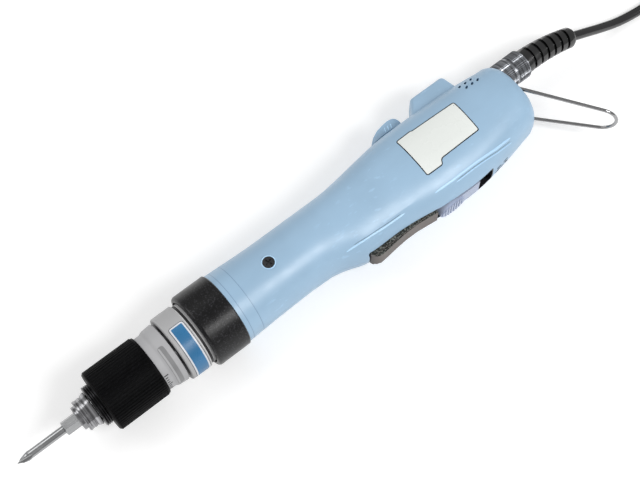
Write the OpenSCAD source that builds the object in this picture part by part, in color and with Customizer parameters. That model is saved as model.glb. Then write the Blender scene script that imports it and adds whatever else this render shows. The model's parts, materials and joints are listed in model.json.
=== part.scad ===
// Electric torque screwdriver, in millimetres.
// Frame: the drive axis is X and the bit points to +X. +Y is the lever side and
// +Z is the side of the label plate. The tool lies on its -Z side. The origin is
// on the drive axis, at the middle of the nose nut.

/* [Housing] */
// Rear face of the housing, behind the origin
housing_len = 188; // [180:1:196]
// Step from the nose nut down to the barrel
front_step = 0.7; // [0.3:0.1:1.1]
// Outer radius of the barrel over the motor
barrel_r = 17.4; // [17.2:0.1:18.4]
// Half width of the grip housing behind the lever
grip_half_w = 18.8; // [18:0.1:19]
// Reach of the grip housing on the side opposite the lever
grip_back = 22; // [21:0.1:24]
// Reach of the grip housing on the lever side
grip_front = 26.6; // [26:0.1:27.4]
// Wall of the housing shells
shell_wall = 1.9; // [1.6:0.1:2.1]
// Thickness of the solid rear wall
rear_wall = 7; // [7:0.5:9]
// Height of the raised block on the back of the grip, above the drive axis
hump_top = 29.2; // [27:0.1:31]
// Half width of the raised block
hump_half_w = 6.5; // [5:0.1:8]

/* [Nose] */
// Depth of the nose nut's rim over the gear case ring
nut_rim = 2.4; // [2.4:0.1:4]
// Length of the nose nut
nut_len = 18; // [16:0.5:19]
// Outer radius of the visible gear case ring
case_ring_r = 16.7; // [16.4:0.1:17.2]
// Length of the visible gear case ring
case_ring_len = 10.8; // [8:0.1:12]
// Outer radius of the scale ring at its rear edge
scale_r = 15.3; // [15:0.1:15.8]
// Outer radius of the torque collar, over its ribs
collar_r = 15.6; // [15.4:0.1:18]
// Length of the torque collar
collar_len = 27.8; // [26:0.1:28.5]
// Number of grip ribs round the torque collar
collar_ribs = 60; // [40:1:72]
// Outer radius of the threaded clutch tube
tube_r = 10.5; // [10.3:0.1:11]
// Lead of the collar thread, per turn
collar_lead = 1.5; // [1:0.1:2]

/* [Chuck and bit] */
// Length of the screwdriver bit
bit_len = 50; // [45:1:60]
// Across flats of the hexagonal bit shank
bit_af = 6.35; // [5:0.05:6.35]
// Radius of the round part of the bit
bit_neck_r = 2; // [1.5:0.1:2.6]
// Outer radius of the quick change sleeve
sleeve_r = 7.8; // [7.4:0.1:8.6]
// Outer radius of the drive spindle in its bush
spindle_r = 5.5; // [5.4:0.1:5.8]

/* [Gearbox] */
// Pitch radius of the ring gear, as a share of its outer radius
ring_share = 0.875; // [0.82:0.005:0.875]
// Face width of the planet gears
planet_w = 6; // [4.5:0.1:6]
// Teeth of each sun gear
sun_teeth = 18; // [18:1:18]
// Teeth of each planet gear
planet_teeth = 12; // [12:1:12]

/* [Motor] */
// Gap between the motor can and the wall of the housing
motor_gap = 0.6; // [0.5:0.1:1.5]
// Length of the housing behind the motor can
rear_room = 94.5; // [93.5:0.5:100]
// Radius of the motor shaft
shaft_r = 2; // [1.5:0.1:2.2]

/* [Controls] */
// Half width of the start lever
lever_half_w = 5.2; // [4.6:0.1:5.6]
// Travel of the direction slider
direction_travel = 8; // [6:0.5:8.5]
// Travel of the start mode slider
mode_travel = 4; // [2:0.5:4]
// Radius of the lever pin
lever_pin_r = 1.25; // [1:0.05:1.5]

/* [Hanging bail] */
// Diameter of the bail wire
bail_wire = 1.8; // [1.4:0.1:2]
// Length from the pivot to the outside of the loop
bail_len = 53; // [44:1:60]
// Half width of the bail at its pivots
bail_half_w = 13.5; // [12.8:0.1:13.8]
// Inner radius of the end of the loop
bail_end_r = 7.4; // [6:0.1:9]

/* [Cord] */
// Diameter of the cord
cord_d = 5; // [4:0.5:5]
// Outer radius of the connector's coupling ring
coupling_r = 7.7; // [7.4:0.1:8.4]
// Length of the coupling ring
coupling_len = 16; // [13:0.5:17]
// Length of the bend relief boot
boot_len = 32; // [32:1:32]

/* [Hidden] */
$fn = 64;

// Clearances
run_fit = 0.05;        // radial, a part that turns or slides on another
free_gap = 0.4;        // between parts of different bodies
seat_gap = 0.3;        // between a spring and its seats

// Round parts of the nose and the barrel
nut_r = case_ring_r + nut_rim;
barrel_front_r = nut_r - front_step;
case_r = barrel_r - shell_wall - 0.1;    // gear case inside the housing
motor_r = barrel_r - shell_wall - motor_gap;

// Stations along the drive axis, from the nose nut forward and back
nut_front = nut_len / 2 + 0.6;
nut_back = nut_front - nut_len;
case_back = nut_front + 2.4;
case_front = case_back + case_ring_len;
scale_back = case_front + 1.2;
collar_back = scale_back + 10.3;
collar_front = collar_back + collar_len;
tube_front = collar_front + 3.7;

// Parts around the clutch
seat_x = collar_back + 6.5;              // rear face of the spring seat
seat_w = 3;
seat_legs = 3;
leg_w = 2.6;
leg_reach = tube_r + 2.3;
seat_back_travel = 2 * collar_lead;      // two turns in
seat_front_travel = collar_lead;         // one turn out
cam_w = 4;
cam_front = nut_front + 1.4;
cam_r = 9.2;
clutch_ball_r = 1.75;
clutch_ball_path = 6.5;
clutch_ball_count = 6;
ball_x = cam_front + 0.8;
ring_x = ball_x + 0.8;                   // rear face of the pressure ring
ring_w = 3.4;
tube_bore = tube_r - 0.9;
tube_base_r = tube_r + 1.5;
tube_threads = 7;
scale_seat_r = 14.2;
scale_front = collar_back + 2.8;
scale_front_r = 14.1;
neck_front = nut_back + 10.8;            // front end of the housing's threaded neck
neck_r = nut_r - 1.4;
nut_flange = nut_back + 13.6;
spring_wire = 1.6;
spring_r = tube_bore - 0.5 - spring_wire / 2;
bush_len = 10;

// Chuck
sleeve_back = tube_front + 0.3;
sleeve_taper = 2.8;
sleeve_body = 3.9;
sleeve_lip = 1.75;
sleeve_lip_r = 6;
sleeve_land = 3;
sleeve_travel = 1.8;
spindle_nose_r = 5;
sleeve_bore = spindle_nose_r + run_fit;
sleeve_cavity_r = 6.6;
spindle_front = sleeve_back + sleeve_taper + sleeve_body + 0.2;
spindle_back = cam_front + 0.4;
spindle_step = seat_x + seat_w + seat_front_travel + 3;
clip_x = spindle_front - 1.6;
clip_w = 0.7;
bit_back = spindle_front - 15.8;
bit_front = bit_back + bit_len;
bit_taper = 7.2;
bit_hex_len = 24.9;
bit_notch = 10.5;                        // from the back of the bit to its groove
bit_ball_r = 1.3;
hex_clear = 0.05;

// Gearbox
gear_wall_r = case_r - 1;                // outside of the ring gear
ring_teeth = sun_teeth + 2 * planet_teeth;
ring_r = ring_share * gear_wall_r;
gear_module = 2 * ring_r / ring_teeth;
sun_r = gear_module * sun_teeth / 2;
planet_r = gear_module * planet_teeth / 2;
planet_path = sun_r + planet_r;
planet_count = 3;
pressure_angle = 25;
backlash = 0.14;
carrier_r = ring_r - 0.9;
hub_r = 3;
plate_w = 3;                             // carrier plates
pin_r = 1.5;
motor_front = nut_back - 29.1;
motor_plate_w = 6.5;
gear_back = motor_front + motor_plate_w;
stage_1 = gear_back + 4.4;               // rear face of the first planets
stage_2 = stage_1 + planet_w + plate_w + 2.4;   // rear face of the second planets
output_web = stage_2 + planet_w + plate_w + 1.2;   // rear face of the bearing web
output_r = 4;
output_bearing_r = 8;
output_bearing_w = 4;

// Motor
motor_back = rear_room - housing_len;
motor_len = motor_front - motor_back;
end_cap_w = 6;
can_wall = 1.4;
magnet_w = 2.4;
rotor_r = motor_r - can_wall - magnet_w - 0.6;
rotor_len = 4 / 7 * motor_len;
rotor_slots = 7;
bearing_r = 5;
bearing_w = 4;
commutator_r = 4.6;
brush_x = 0.1 * motor_len;               // from the back of the can
brush_w = 0.09 * motor_len;
brush_t = 4;
rotor_x = motor_back + 0.295 * motor_len;

// Lever and sliders
lever_front = 111.4 - housing_len;
lever_back = lever_front - 39;
pin_x = lever_back + 4.1;
pin_y = 18.6;
lever_slot_w = lever_half_w + free_gap;
lever_floor = 15.8;
switch_nub_x = pin_x + 7.5;
slider_front = lever_back - 1.1;
knob_len = 15.2;
slider_len = 25;
slider_half_w = 5;
slider_top = grip_front - 0.4;
knob_top = grip_front + 0.7;
mode_front = 72.8 - housing_len;
mode_len = 18.8;
mode_half_w = 4.6;
mode_base = grip_back + 0.5;
mode_rise = 4.9;
hump_front = 48.8 - housing_len;
hump_len = 28.4;
vent_x = 23.6 - housing_len;

// Rear end
connector_y = -11.9;
socket_r = 6;
coupling_back = -housing_len - 0.5 - coupling_len;
bail_x = 2.4 - housing_len;
bail_y = 1.4;
bail_rest = 52;
bail_notch_r = 5.6;
screw_posts = [[84 - housing_len, -14.6], [17 - housing_len, 13], [38 - housing_len, -15.4]];
screw_r = 1.5;
post_r = 3.4;
board_back = 12 - housing_len;
board_len = 36;
board_z = -8.6;
floor_z = -nut_r;                        // the surface that the tool lies on
front_screw_x = motor_front + motor_plate_w / 2;
front_screw_head = 1.2;
front_screw_seat = barrel_r - front_screw_head;

// ---- shapes used by several parts ----

// Turns a profile of [x, radius] points about the drive axis
module turned(points) {
    rotate([0, 90, 0]) rotate_extrude() polygon([for (p = points) [p[1], p[0]]]);
}

// A tube along the drive axis
module ring(x, length, outer, inner) {
    turned([[x, inner], [x + length, inner], [x + length, outer], [x, outer]]);
}

// A rod along the drive axis
module rod(x, length, radius) {
    translate([x, 0, 0]) rotate([0, 90, 0]) cylinder(h = length, r = radius);
}

// Places a flat outline of [y, z] across the drive axis, from x forward
module across(x, length) {
    translate([x, 0, 0]) rotate([90, 0, 90]) linear_extrude(height = length) children();
}

// Repeats its children round the drive axis
module around(count, first = 0) {
    for (i = [0:count - 1]) rotate([first + 360 * i / count, 0, 0]) children();
}

// A screw with a cross recess, head down to z = 0 and shank to -length
module cross_screw(radius, head_r, head_h, length) {
    difference() {
        union() {
            cylinder(h = head_h, r = head_r);
            translate([0, 0, -length]) cylinder(h = length + 0.1, r = radius);
        }
        for (turn = [0, 90]) rotate([0, 0, turn + 20])
            translate([-head_r * 0.6, -0.35, head_h - 0.8]) cube([head_r * 1.2, 0.7, 2]);
    }
}

// Involute function, in degrees
function inv(a) = tan(a) * 180 / PI - a;

// Half the angle of a gear tooth at radius r
function half_tooth(r, pitch_r, thickness, base_r) =
    thickness / pitch_r * 90 / PI + inv(pressure_angle)
    - (r > base_r ? inv(acos(base_r / r)) : 0);

// Outline of a gear, its first tooth on the first axis
function gear_outline(teeth, thickness, tip, root, steps = 3) =
    let (pitch_r = gear_module * teeth / 2, base_r = pitch_r * cos(pressure_angle),
         low = max(root, base_r), step = (tip - low) / steps)
    [for (i = [0:teeth - 1]) let (mid = 360 * i / teeth)
        each concat(
            [let (a = mid - half_tooth(low, pitch_r, thickness, base_r)) root * [cos(a), sin(a)]],
            [for (k = [0:steps]) let (r = low + step * k,
                a = mid - half_tooth(r, pitch_r, thickness, base_r)) r * [cos(a), sin(a)]],
            [for (k = [steps:-1:0]) let (r = low + step * k,
                a = mid + half_tooth(r, pitch_r, thickness, base_r)) r * [cos(a), sin(a)]],
            [let (a = mid + half_tooth(low, pitch_r, thickness, base_r)) root * [cos(a), sin(a)]]
        )];

tooth_w = PI * gear_module / 2;

module outer_gear(teeth, bore) {
    pitch_r = gear_module * teeth / 2;
    difference() {
        polygon(gear_outline(teeth, tooth_w - backlash / 2, pitch_r + 0.8 * gear_module,
            pitch_r - 1.1 * gear_module));
        circle(r = bore);
    }
}

// A smooth curve through key rows: value of every column between rows i and i + 1
function blend_rows(rows, i, t) =
    let (p0 = rows[max(i - 1, 0)], p1 = rows[i], p2 = rows[i + 1],
         p3 = rows[min(i + 2, len(rows) - 1)])
    [for (c = [0:len(p1) - 1])
        let (w = (p2[0] - p1[0]),
             m1 = (p2[c] - p0[c]) / (p2[0] - p0[0]) * w,
             m2 = (p3[c] - p1[c]) / (p3[0] - p1[0]) * w)
        (2 * t ^ 3 - 3 * t ^ 2 + 1) * p1[c] + (t ^ 3 - 2 * t ^ 2 + t) * m1
        + (3 * t ^ 2 - 2 * t ^ 3) * p2[c] + (t ^ 3 - t ^ 2) * m2];

function smooth_rows(rows, steps) = concat(
    [for (i = [0:len(rows) - 2]) for (k = [0:steps - 1]) blend_rows(rows, i, k / steps)],
    [rows[len(rows) - 1]]);

// Corner radius of a polygon whose flats lie at radius r
function flats(r, sides) = r / cos(180 / sides);

// One cross section of the housing: [x, back, front, half width, squareness]
function section(row, inset, sides, grow = 1) = [for (i = [0:sides - 1])
    let (a = 360 * i / sides, c = cos(a), s = sin(a),
         reach = (c >= 0 ? row[2] : row[1]) - inset)
    [row[0], grow * reach * sign(c) * abs(c) ^ (2 / row[4]),
        grow * (row[3] - inset) * sign(s) * abs(s) ^ (2 / row[4])]];

// A closed solid through cross sections with the same number of points
module loft(sections) {
    sides = len(sections[0]);
    last = len(sections) - 1;
    points = [for (s = sections) each s];
    walls = [for (i = [0:last - 1]) for (k = [0:sides - 1])
        let (a = i * sides + k, b = i * sides + (k + 1) % sides)
        each [[a, b, b + sides], [a, b + sides, a + sides]]];
    polyhedron(points, concat([[for (k = [sides - 1:-1:0]) k]], walls,
        [[for (k = [0:sides - 1]) last * sides + k]]), convexity = 6);
}

// A round wire or tube of given radii along points
function unit(v) = v / norm(v);
function path_ring(points, i, radius, sides, flat) =
    let (n = len(points) - 1,
         d = unit(points[min(i + 1, n)] - points[max(i - 1, 0)]),
         side = unit(cross(flat, d)), up = cross(d, side))
    [for (k = [0:sides - 1]) let (a = 360 * (k + 0.5) / sides)
        points[i] + radius * (cos(a) * side + sin(a) * up)];
module swept(points, radius, sides, flat) {
    loft([for (i = [len(points) - 1:-1:0]) path_ring(points, i, radius, sides, flat)]);
}

// A coil spring along the drive axis
module coil(x, length, mid_r, wire_r, turns, per_turn = 14, sides = 6) {
    steps = ceil(turns * per_turn);
    rings = [for (i = [0:steps])
        let (a = 360 * turns * i / steps,
             rise = x + wire_r + (length - 2 * wire_r) * i / steps)
        [for (k = [0:sides - 1]) let (b = 360 * k / sides, r = mid_r + wire_r * cos(b))
            [rise + wire_r * sin(b), r * cos(a), r * sin(a)]]];
    loft([for (i = [steps:-1:0]) rings[i]]);
}

// ---- housing ----

// Key cross sections: [x, reach to -Y, reach to +Y, half width, squareness]
body_rows = [
    [nut_back, barrel_front_r, barrel_front_r, barrel_front_r, 2],
    [nut_back - 9, barrel_r + 0.6, barrel_r + 0.6, barrel_r + 0.6, 2],
    [-35, barrel_r, barrel_r, barrel_r, 2],
    [130 - housing_len, barrel_r, barrel_r + 0.2, barrel_r, 2],
    [121 - housing_len, barrel_r, barrel_r + 2.6, barrel_r, 2],
    [114 - housing_len, barrel_r, grip_front - 4, barrel_r + 0.1, 2],
    [107 - housing_len, barrel_r + 0.2, grip_front - 3.4, barrel_r + 0.3, 2.1],
    [93 - housing_len, barrel_r + 1.9, grip_front - 3.6, barrel_r + 0.5, 2.2],
    [81 - housing_len, grip_back - 1.1, grip_front - 2.6, grip_half_w - 0.6, 2.3],
    [69 - housing_len, grip_back, grip_front - 0.9, grip_half_w - 0.2, 2.4],
    [52 - housing_len, grip_back + 0.1, grip_front, grip_half_w, 2.4],
    [42 - housing_len, grip_back, grip_front - 0.4, grip_half_w, 2.4],
    [32 - housing_len, grip_back - 0.2, grip_front - 1.8, grip_half_w, 2.4],
    [21 - housing_len, grip_back - 0.8, grip_front - 3.8, grip_half_w, 2.4],
    [11 - housing_len, grip_back - 1.8, grip_front - 6, grip_half_w - 0.6, 2.4]];
// Rear edge: how far each cross section lies in from the rear face, and its inset
edge_rows = [for (a = [0:22.5:90]) [6 * (1 - sin(a)), 6 * (1 - cos(a))]];
rear_row = [-housing_len, grip_back - 3, grip_front - 8.8, grip_half_w - 1.4, 2.4];
edge_sections = [for (e = edge_rows)
    [rear_row[0] + e[0], rear_row[1] - e[1] + 0.16 * e[0], rear_row[2] - e[1] + 0.3 * e[0],
        rear_row[3] - e[1] + 0.08 * e[0], rear_row[4]]];
outer_rows = concat(smooth_rows(body_rows, 2), edge_sections);
inner_rows = concat(body_rows,
    [[rear_wall - housing_len, rear_row[1] + 0.6, rear_row[2] + 1.2, rear_row[3], 2.4]]);

module housing_solid() {
    loft([for (row = outer_rows) section(row, 0, 40)]);
    // neck that the nose nut screws on
    rod(nut_back - 1, neck_front - nut_back + 1, neck_r);
    // raised block on the back of the grip
    hull() {
        for (x = [hump_front - 6.8, hump_front - hump_len + 4.2]) for (z = [-1, 1])
            translate([x, 2.6 - hump_top, z * (hump_half_w - 2)]) sphere(r = 2.6, $fn = 24);
        for (x = [hump_front, hump_front - hump_len + 3.6]) for (z = [-1, 1])
            translate([x, 3.4 - grip_back, z * (hump_half_w + 1.2)]) sphere(r = 2, $fn = 16);
    }
}

module housing_hollow() {
    loft([for (row = inner_rows) section(row, shell_wall, 24, flats(1, 24))]);
    rod(nut_back - 2, nut_len, flats(case_r + 0.02, $fn));
    // inside of the raised block
    hull() for (x = [hump_front - 7, hump_front - hump_len + 5.6]) for (z = [-1, 1]) for (y = [0, 8])
        translate([x, y + 3.4 - hump_top, z * (hump_half_w - 3)]) sphere(r = 1.4, $fn = 12);
}

// Rounded slot through the shell, from y toward +Y
module shell_slot(x_front, x_back, half_w, y, height, corner) {
    hull() for (x = [x_front - corner, x_back + corner]) for (z = [-1, 1])
        translate([x, y, z * (half_w - corner)]) rotate([-90, 0, 0])
            cylinder(h = height, r = corner, $fn = 24);
}

// Everything that both shells leave open
module housing_openings() {
    // start lever and direction slider
    shell_slot(lever_front + 0.8, slider_front - 1, lever_slot_w, lever_floor + 1.2, 20, 1.2);
    translate([switch_nub_x - 3, lever_floor - 1, -2.4]) cube([6, 4, 4.8]);
    shell_slot(slider_front + 0.6, slider_front - slider_len - direction_travel - 0.8,
        slider_half_w + free_gap, lever_floor + 1.2, 20, 2);
    // stem of the start mode slider
    shell_slot(mode_front - 6, mode_front - 13.6 - mode_travel, 2.2, -40, 25, 1);
    // connector
    translate([-housing_len - 1, connector_y, 0]) rotate([0, 90, 0])
        cylinder(h = rear_wall + 4, r = flats(socket_r + 0.02, $fn));
    // bail: pivot holes and the notches that its legs swing in
    for (z = [-1, 1]) {
        translate([bail_x, bail_y, z * (bail_half_w - 0.3) - 1.6]) cylinder(h = 3.2, r = bail_notch_r);
        translate([bail_x, bail_y, z * (bail_half_w - 2) - 1.8])
            cylinder(h = 3.6, r = bail_wire / 2 + 0.1, $fn = 24);
    }
    // air slots near the back edge
    for (z = [-1, 1]) for (column = [0:2]) for (row = [0, 1])
        hull() for (end = [-1, 1])
            translate([vent_x - 3.6 * column - 1.6 * row + 0.5 * end, -15.6 + 3 * row + 0.35 * end, z * 15 - 7])
                cylinder(h = 14, r = 0.55, $fn = 8);
    // lever pin
    translate([pin_x, pin_y, -9]) cylinder(h = 18, r = lever_pin_r + 0.02, $fn = 24);
}

// Ribs, posts and seats moulded inside the shells
module housing_inside() {
    // posts for the long screws
    for (p = screw_posts) translate([p[0], p[1], -grip_half_w]) cylinder(h = 2 * grip_half_w, r = post_r, $fn = 20);
    // floor under the lever, and the ears that hold its pin
    translate([pin_x - 4, lever_floor, -grip_half_w]) cube([lever_front - pin_x + 6, 1.2, 2 * grip_half_w]);
    for (z = [-1, 1]) translate([pin_x - 3.4, lever_floor - 1, z * (lever_slot_w + 1.7) - 1.7])
        cube([6.8, 6, 3.4]);
    // walls beside the slider
    for (z = [-1, 1]) translate([slider_front - slider_len - direction_travel - 2, lever_floor + 1.2,
        z * (slider_half_w + free_gap + 0.8) - 0.8])
        cube([slider_len + direction_travel + 2, 8, 1.6]);
    // stand-offs for the circuit board
    for (x = [board_back + 4, board_back + board_len - 4]) translate([x, 0, -grip_half_w])
        cylinder(h = grip_half_w + board_z, r = 2);
    // cradle ribs round the motor
    for (x = [motor_back + 4, motor_back + 26]) ring(x, 1.6, barrel_r - shell_wall / 2, flats(motor_r + 0.02, $fn));
}

// Half of the housing; side is 1 for the +Z shell and -1 for the -Z shell
module housing_half(side) {
    difference() {
        intersection() {
            union() {
                difference() {
                    housing_solid();
                    housing_hollow();
                }
                intersection() {
                    housing_solid();
                    housing_inside();
                }
            }
            translate([-housing_len - 5, -40, side > 0 ? 0 : -40]) cube([housing_len + 40, 80, 40]);
        }
        housing_openings();
        // screw bores, with head pockets on the -Z side
        for (p = screw_posts) translate([p[0], p[1], 0]) {
            translate([0, 0, -grip_half_w])
                cylinder(h = grip_half_w + 12, r = flats(screw_r + 0.02, 16), $fn = 16);
            translate([0, 0, -grip_half_w - 1]) cylinder(h = 9, r = 2.9, $fn = 20);
        }
        rotate([side > 0 ? 0 : 180, 0, 0]) translate([front_screw_x, 0, 0]) {
            cylinder(h = 30, r = 1.6, $fn = 16);
            translate([0, 0, front_screw_seat]) cylinder(h = 10, r = 3.05, $fn = 24);
        }
    }
}

module left_housing() { color("#8fb0d3") housing_half(1, $fn = 32); }
module right_housing() { color("#8fb0d3") housing_half(-1, $fn = 32); }

// Long screws, from head pockets in the -Z shell into the posts of the +Z shell
module housing_screws() {
    color("#3c3c3e") for (p = screw_posts)
        translate([p[0], p[1], 8 - grip_half_w]) rotate([180, 0, 0])
            cross_screw(screw_r, 2.7, 2, grip_half_w + 3);
}

// Short screws through the shells into the motor's front plate, one on each side
module front_screws() {
    color("#2e2e30") for (side = [0, 180]) rotate([side, 0, 0])
        translate([front_screw_x, 0, front_screw_seat]) cross_screw(1.5, 2.9, front_screw_head, 4.6);
}

// ---- nose ----

module nose_nut() {
    color("#161617") turned(concat(
        [[nut_back, nut_r - 1.38], [nut_back, nut_r - 0.5], [nut_back + 0.5, nut_r],
            [nut_front - 1.6, nut_r]],
        [for (a = [75:-15:0]) [nut_front - 1.6 + 1.6 * cos(a), nut_r - 1.6 + 1.6 * sin(a)]],
        [[nut_front, case_ring_r + 0.1], [nut_flange, case_ring_r + 0.1], [nut_flange, nut_r - 1.38]]));
}

module gear_case() {
    color("#a9abae") turned([[gear_back, gear_wall_r + 0.01], [gear_back, case_r],
            [neck_front + 0.1, case_r], [neck_front + 0.1, neck_r - 0.1], [nut_flange - 0.1, neck_r - 0.1],
            [nut_flange - 0.1, case_ring_r - 0.9], [case_back, case_ring_r - 0.9],
            [case_back, case_ring_r - 0.4], [case_back + 0.4, case_ring_r],
            [case_front - 0.4, case_ring_r], [case_front, case_ring_r - 0.4],
            [case_front, tube_base_r], [cam_front + 0.5, tube_base_r],
            [cam_front + 0.5, cam_r + 0.5], [output_web + output_bearing_w + 1, cam_r + 0.5],
            [output_web + output_bearing_w + 1, output_bearing_r - 1],
            [output_web + output_bearing_w, output_bearing_r - 1],
            [output_web + output_bearing_w, output_bearing_r], [output_web, output_bearing_r],
            [output_web, gear_wall_r + 0.01]]);
}

module ring_gear() {
    color("#8d8f92") across(stage_1 - 1, output_web - stage_1 + 1 - 0.02) difference() {
        circle(r = gear_wall_r);
        rotate(180 / ring_teeth) polygon(gear_outline(ring_teeth, tooth_w + backlash / 2,
            ring_r + 1.1 * gear_module, ring_r - 0.75 * gear_module));
    }
}

// Threaded tube that carries the clutch spring, the scale ring and the torque collar
module clutch_tube() {
    color("#2b2b2d") difference() {
        turned(concat(
            [[cam_front + 0.52, tube_bore], [cam_front + 0.52, tube_base_r - 0.01],
                [case_front, tube_base_r - 0.01], [case_front, scale_seat_r],
                [case_front + 1.2, scale_seat_r], [case_front + 1.2, tube_base_r],
                [scale_front, tube_base_r], [scale_front, tube_r - 0.5]],
            [for (i = [0:tube_threads - 1]) each [
                [tube_front - tube_threads + i, tube_r - 0.5], [tube_front - tube_threads + i + 0.3, tube_r],
                [tube_front - tube_threads + i + 0.7, tube_r]]],
            [[tube_front, tube_r - 0.5], [tube_front, spindle_r + 1.6], [tube_front - 1, spindle_r + 1.6],
                [tube_front - 1, tube_bore]]));
        around(seat_legs) translate([seat_x - seat_back_travel - free_gap, -leg_w / 2 - seat_gap, 0])
            cube([seat_w + seat_back_travel + seat_front_travel + 2 * free_gap,
                leg_w + 2 * seat_gap, tube_r + 2]);
    }
}

module scale_ring() {
    color("#b3b5b8") turned([[scale_back, tube_base_r + 0.01], [scale_back, scale_r - 0.3],
        [scale_back + 0.3, scale_r], [scale_back + 5, scale_r - 0.35],
        [collar_back - seat_back_travel - 0.2, scale_front_r], [scale_front, scale_front_r],
        [scale_front, tube_base_r + 0.01]]);
}

module spindle_bush() {
    color("#b98d4e") ring(tube_front - 1.02 - bush_len, bush_len, tube_bore - 0.01, spindle_r + run_fit);
}

// The collar's outline across the drive axis, ribbed for grip
module torque_collar() {
    rim_r = collar_r - 0.35;
    body_x = collar_back + 1.2;
    body_w = collar_len - 2;
    step = 360 / collar_ribs;
    ribbed = [for (i = [0:collar_ribs - 1]) each [
        [rim_r, i], [rim_r, i + 0.35], [collar_r, i + 0.5], [collar_r, i + 0.85]]];
    color("#141415") difference() {
        union() {
            across(body_x, body_w) polygon([for (p = ribbed) p[0] * [cos(p[1] * step), sin(p[1] * step)]]);
            turned([[collar_back, 0], [collar_back, collar_r - 0.8], [collar_back + 0.2, collar_r - 0.5],
                [body_x - 0.5, rim_r], [body_x + body_w + 0.3, rim_r], [collar_front, collar_r - 0.9],
                [collar_front, 0]]);
        }
        turned([[collar_back - 1, 0], [collar_back - 1, scale_front_r + free_gap],
            [seat_x + 0.2, scale_front_r + free_gap], [seat_x + 0.2, leg_reach + seat_gap],
            [seat_x + seat_w + seat_gap, leg_reach + seat_gap],
            [seat_x + seat_w + seat_gap, tube_r + run_fit], [collar_front + 1, tube_r + run_fit],
            [collar_front + 1, 0]]);
    }
}

// ---- clutch ----

module spring_seat() {
    color("#9a9ca0") {
        ring(seat_x, seat_w, tube_bore - free_gap, output_r + 0.6);
        around(seat_legs) translate([seat_x, -leg_w / 2, output_r + 2])
            cube([seat_w, leg_w, leg_reach - output_r - 2]);
    }
}

module clutch_spring() {
    start = ring_x + ring_w + 0.05;
    color("#8c8e92") coil(start, seat_x - 0.05 - start, spring_r, spring_wire / 2, 6);
}

module pressure_ring() {
    color("#a5a7ab") difference() {
        ring(ring_x, ring_w, cam_r - 0.4, output_r + 0.01);
        around(clutch_ball_count) translate([ring_x - 0.8, 0, clutch_ball_path]) sphere(r = clutch_ball_r + 0.01);
    }
}

module clutch_balls() {
    color("#d6d8db") around(clutch_ball_count) translate([ball_x, 0, clutch_ball_path])
        sphere(r = clutch_ball_r, $fn = 32);
}

module clutch_cam() {
    color("#95979b") difference() {
        turned([[cam_front - 9, output_r + 0.01], [cam_front - 9, cam_r - 3], [cam_front - cam_w, cam_r - 3],
            [cam_front - cam_w, cam_r], [cam_front, cam_r], [cam_front, output_r + 0.01]]);
        around(clutch_ball_count) translate([ball_x, 0, clutch_ball_path]) sphere(r = clutch_ball_r + 0.01);
    }
}

// ---- spindle, chuck and bit ----

module hexagon(flats, x, length) {
    across(x, length) circle(r = flats / sqrt(3), $fn = 6);
}

module spindle() {
    color("#c3c5c8") difference() {
        turned([[spindle_back, 0], [spindle_back, output_r - 0.01], [spindle_step, output_r - 0.01],
            [spindle_step + 1, spindle_r], [tube_front + 0.1, spindle_r], [tube_front + 0.1, spindle_nose_r],
            [clip_x, spindle_nose_r], [clip_x, spindle_nose_r - 0.6],
            [clip_x + clip_w, spindle_nose_r - 0.6], [clip_x + clip_w, spindle_nose_r],
            [spindle_front - 0.4, spindle_nose_r], [spindle_front, spindle_nose_r - 0.4], [spindle_front, 0]]);
        hexagon(bit_af + 2 * hex_clear, bit_back - 0.1, 40);
        rod(bit_back - 2, 3, 2.6);
        translate([bit_back + bit_notch, 0, 0]) cylinder(h = 10, r = bit_ball_r + 0.03);
    }
}

module bit() {
    color("#c9cbce") difference() {
        union() {
            intersection() {
                hexagon(bit_af, bit_back, bit_hex_len);
                turned([[bit_back, 0], [bit_back, bit_af / 2 - 0.4], [bit_back + 0.8, bit_af],
                    [bit_back + bit_hex_len - 1.4, bit_af], [bit_back + bit_hex_len, bit_af / 2 - 0.9],
                    [bit_back + bit_hex_len, 0]]);
            }
            turned([[bit_back + bit_hex_len - 0.5, 0], [bit_back + bit_hex_len - 0.5, bit_neck_r],
                [bit_front - bit_taper, bit_neck_r], [bit_front - 5.6, bit_neck_r + 0.2],
                [bit_front - 1.6, 0.95], [bit_front - 0.4, 0.7], [bit_front, 0.25], [bit_front, 0]]);
        }
        // groove for the retaining ball
        turned([[bit_back + bit_notch - 2.2, bit_af], [bit_back + bit_notch - 1, 2.3],
            [bit_back + bit_notch + 1, 2.3], [bit_back + bit_notch + 2.2, bit_af]]);
        // four flutes of the cross point
        around(4, 45) translate([bit_front - 6.4, 0, 3.15]) rotate([0, 90 + 14, 0])
            translate([0, 0, -1]) cylinder(h = 12, r = 1.6, $fn = 24);
    }
}

module bit_ball() {
    color("#d6d8db") translate([bit_back + bit_notch, 0, spindle_nose_r - 0.05 - bit_ball_r])
        sphere(r = bit_ball_r, $fn = 32);
}

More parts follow.
